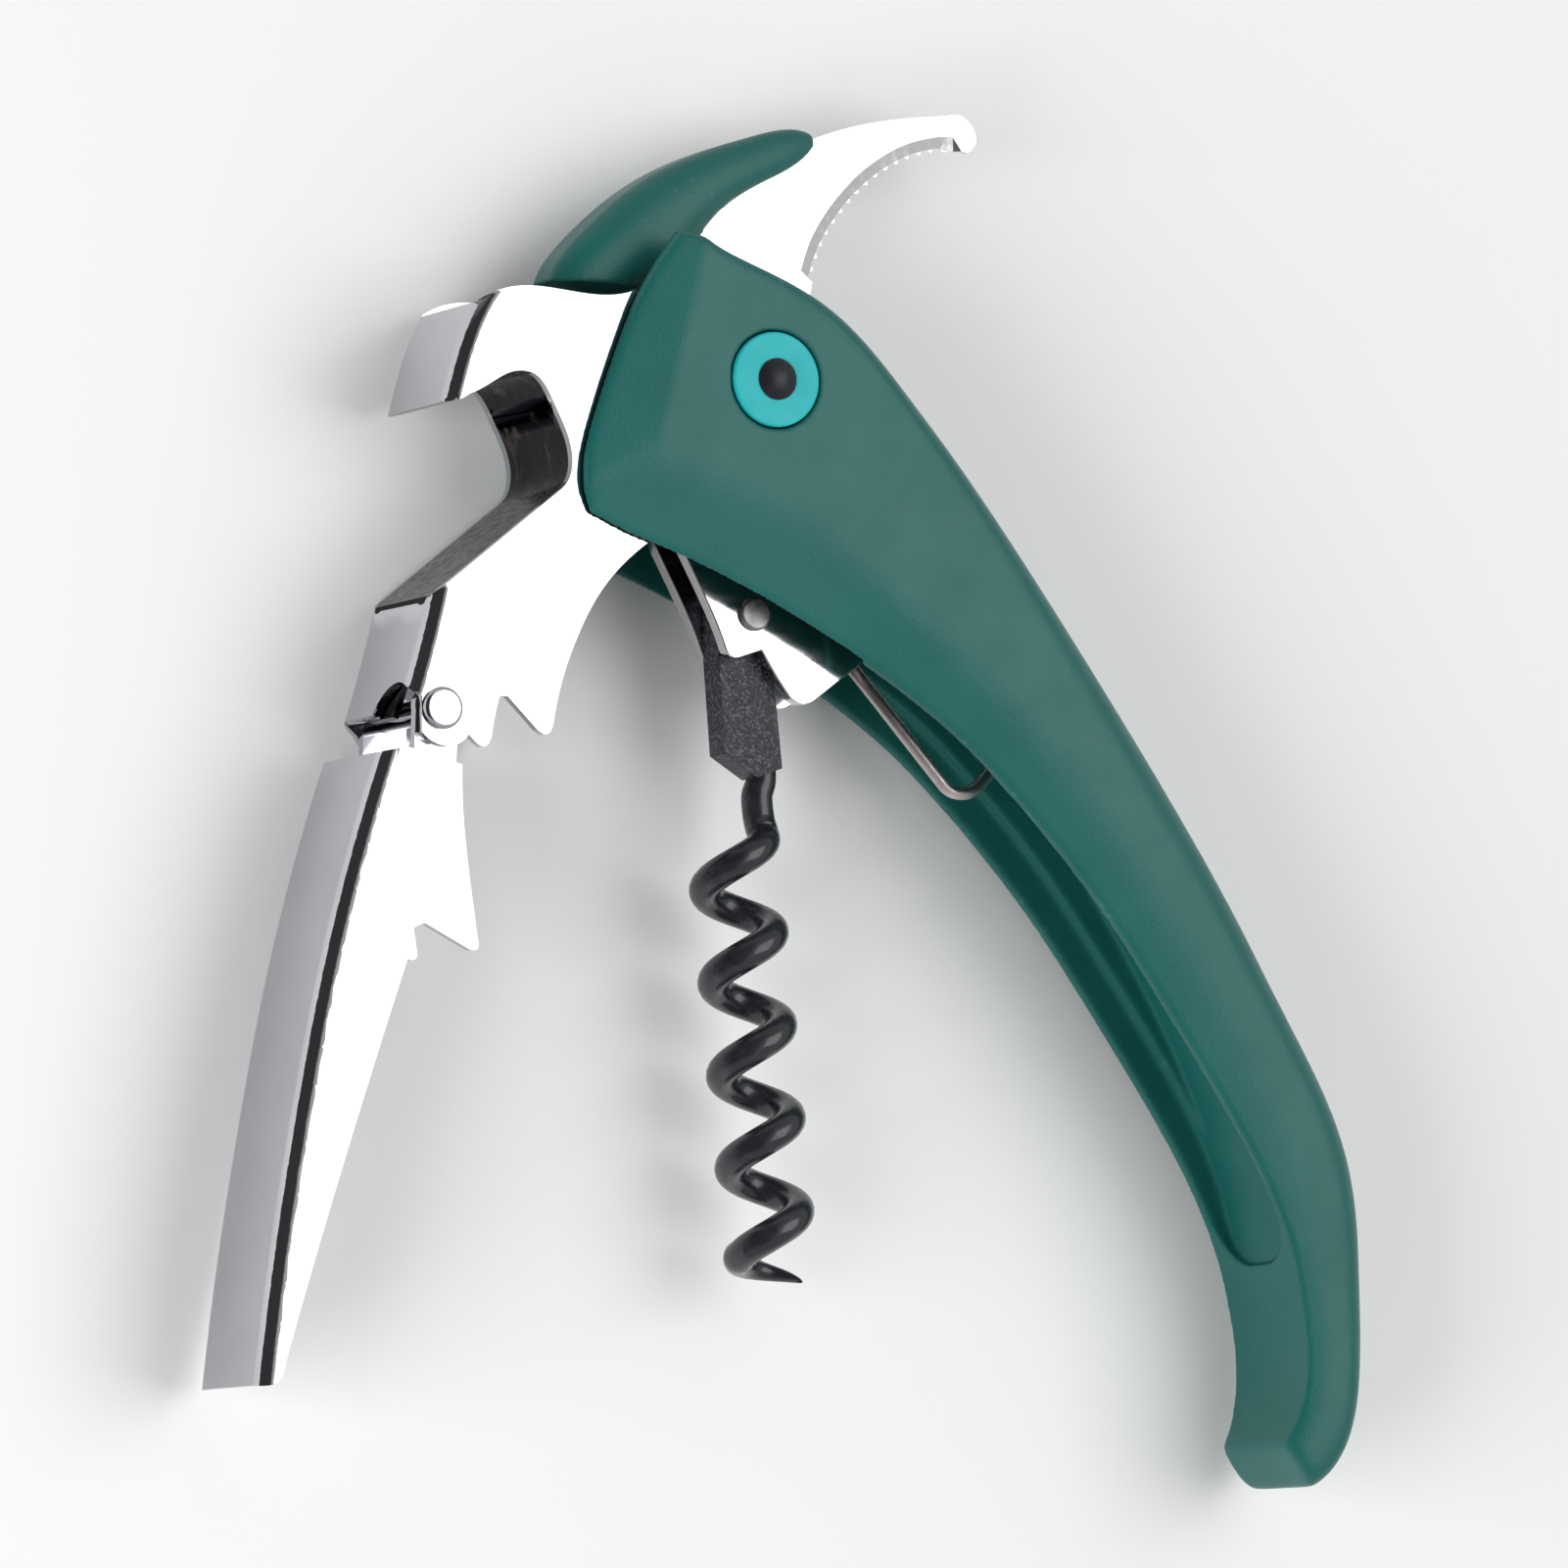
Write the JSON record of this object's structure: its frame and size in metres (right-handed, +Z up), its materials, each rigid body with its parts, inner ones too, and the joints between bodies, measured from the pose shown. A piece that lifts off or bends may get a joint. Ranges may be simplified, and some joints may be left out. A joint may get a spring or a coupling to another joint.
{
  "type": "lever corkscrew",
  "caption": "Folding two-step lever corkscrew shaped like a bird: green plastic handle, plated lever with bottle opener, black worm and a serrated foil blade under a crest grip.",
  "frame": {"origin": "centre of the eye axle on the flat far side of the head, which lies on the table", "axes": "+Z up through the thickness, along every hinge axis, from the side it lies on to the side that shows; +X from the lever towards the tail; +Y from the tail towards the crest"},
  "size_m": [0.1158, 0.1301, 0.0206],
  "materials": {
    "green_plastic": "satin moulded plastic with a fine spark-eroded grain",
    "turquoise_plastic": "smooth gloss",
    "black_plastic": "smooth gloss",
    "plain_steel": "turned steel",
    "plated_steel": "bright plating over pressed sheet",
    "polished_steel": "polished plate with sheared edges",
    "spring_steel": "drawn wire and strip, warm grey",
    "blade_steel": "polished blade with a ground edge",
    "black_hub": "cast hub, coarse sparkling black coat",
    "black_coating": "slick non-stick coat on the wire"
  },
  "bodies": {
    "handle": {"handle_body": "green_plastic", "eye_ring_near": "turquoise_plastic", "eye_ring_far": "turquoise_plastic", "pupil_near": "black_plastic", "pupil_far": "black_plastic", "pivot_axle": "plain_steel", "knife_washer_near": "plain_steel", "knife_washer_far": "plain_steel", "spacer_near": "plain_steel", "spacer_far": "plain_steel", "cheek_near": "polished_steel", "cheek_far": "polished_steel", "worm_rivet": "plain_steel", "wire_spring": "spring_steel"},
    "upper_lever": {"upper_lever": "plated_steel", "knee_rivet": "plated_steel", "lever_spring": "spring_steel"},
    "lower_lever": {"lower_lever": "plated_steel"},
    "knife": {"knife_blade": "blade_steel", "crest_grip": "green_plastic", "grip_pins": "plain_steel"},
    "worm": {"worm_hub": "black_hub", "worm": "black_coating"}
  },
  "joints": [
    {"name": "lever_close", "type": "hinge", "parent": "handle", "child": "upper_lever", "pos_m": [0, 0, 0.0098], "axis": [0, 0, 1], "range_deg": [0, 50]},
    {"name": "worm_fold", "type": "hinge", "parent": "handle", "child": "worm", "pos_m": [0.0011, -0.0212, 0.0098], "axis": [0, 0, 1], "range_deg": [0, 42.01]},
    {"name": "knee_fold", "type": "hinge", "parent": "upper_lever", "child": "lower_lever", "pos_m": [-0.033, -0.032, 0.0098], "axis": [0, 0, 1], "range_deg": [-34, 14]},
    {"name": "knife_fold", "type": "hinge", "parent": "handle", "child": "knife", "pos_m": [0, 0, 0.0098], "axis": [0, 0, 1], "range_deg": [-88, 0]}
  ],
  "couplings": [
    {"joint": "worm_fold", "follows": "lever_close", "ratio": 0.84}
  ]
}
